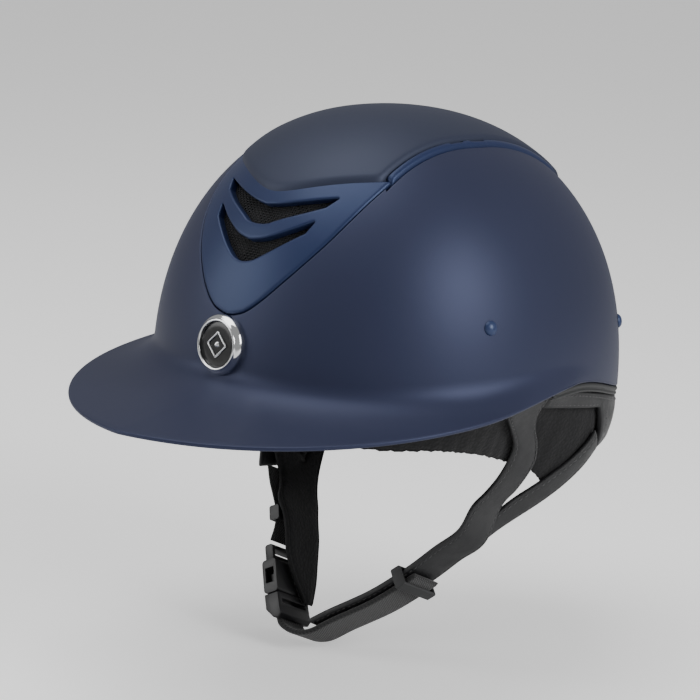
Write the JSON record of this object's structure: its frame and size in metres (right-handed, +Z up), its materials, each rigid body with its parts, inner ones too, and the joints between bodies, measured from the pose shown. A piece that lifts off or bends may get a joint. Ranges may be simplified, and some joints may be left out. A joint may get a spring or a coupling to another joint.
{
  "type": "riding helmet",
  "caption": "Riding helmet: smooth dome flaring into a wide brim, recessed centre stripe with chevron vents and raised crown panel, padded liner and buckled chin strap.",
  "frame": {"origin": "centre of the head opening, level with the shell's rear rim", "axes": "+Z up, -Y towards the brim at the front, +X towards the wearer's left"},
  "size_m": [0.2352, 0.317, 0.277],
  "materials": {
    "shell": "matt navy lacquer, faintly soft",
    "crown": "matt navy lacquer",
    "panel": "satin blue-navy moulding",
    "mesh": "fine black woven mesh",
    "lining": "black felt",
    "edge_rubber": "dark grey rubber",
    "black_plastic": "fine-grained moulded plastic",
    "foam": "beaded black foam",
    "pad_fabric": "soft knitted padding",
    "fastener_fabric": "hook-and-loop",
    "rivet_paint": "satin blue paint",
    "steel": "zinc plated",
    "chrome": "bright chrome",
    "badge_black": "satin black",
    "strap_leather": "dark grey smooth leather look, stitched",
    "webbing": "woven nylon"
  },
  "bodies": {
    "helmet": {"outer_shell": "shell", "brim_lining": "lining", "rear_edge_bead": "edge_rubber", "front_vent_panel": "panel", "upper_vent_mesh": "mesh", "lower_vent_mesh": "mesh", "crown_panel": "crown", "left_rail": "panel", "right_rail": "panel", "rear_vent_panel": "panel", "rear_vent_mesh": "mesh", "panel_clips": "black_plastic", "impact_liner": "foam", "crown_pad": "pad_fabric", "headband_pad": "pad_fabric", "liner_fastener_discs": "fastener_fabric", "harness_rivets": "rivet_paint", "rivet_washers": "steel", "badge_bezel": "chrome", "badge_inlay": "badge_black", "badge_motif": "chrome", "comfort_skirt": "pad_fabric", "nape_band": "strap_leather", "left_front_strap": "strap_leather", "left_rear_strap": "strap_leather", "right_front_strap": "strap_leather", "right_rear_strap": "strap_leather", "right_strap_pad": "pad_fabric", "right_webbing": "webbing", "buckle_socket": "black_plastic"},
    "slider": {"web_slider": "black_plastic"},
    "chin_strap": {"chin_strap_cover": "strap_leather", "chin_webbing": "webbing", "buckle_plug": "black_plastic"},
    "keeper": {"strap_keeper": "edge_rubber"},
    "front_arm": {"front_latch_arm": "black_plastic"},
    "rear_arm": {"rear_latch_arm": "black_plastic"}
  },
  "joints": [
    {"name": "chin_strap_swing", "type": "hinge", "parent": "helmet", "child": "chin_strap", "pos_m": [0.0675, -0.01203, -0.06228], "axis": [0, -0.9114, 0.4115], "range_deg": [0, 105]},
    {"name": "front_latch_squeeze", "type": "hinge", "parent": "chin_strap", "child": "front_arm", "pos_m": [-0.03378, -0.04136, -0.11266], "axis": [-0.8704, -0.2026, -0.4488], "range_deg": [0, 8], "stiffness_Nm_per_rad": 0.05},
    {"name": "rear_latch_squeeze", "type": "hinge", "parent": "chin_strap", "child": "rear_arm", "pos_m": [-0.03378, -0.03042, -0.1176], "axis": [0.8704, 0.2026, 0.4488], "range_deg": [0, 8], "stiffness_Nm_per_rad": 0.05},
    {"name": "slider_travel", "type": "slide", "parent": "helmet", "child": "slider", "axis": [0.4384, -0.3699, -0.8192], "range_m": [-0.002, 0.002]},
    {"name": "keeper_travel", "type": "slide", "parent": "chin_strap", "child": "keeper", "axis": [-0.7361, -0.2785, -0.6169], "range_m": [0, 0.008]}
  ]
}
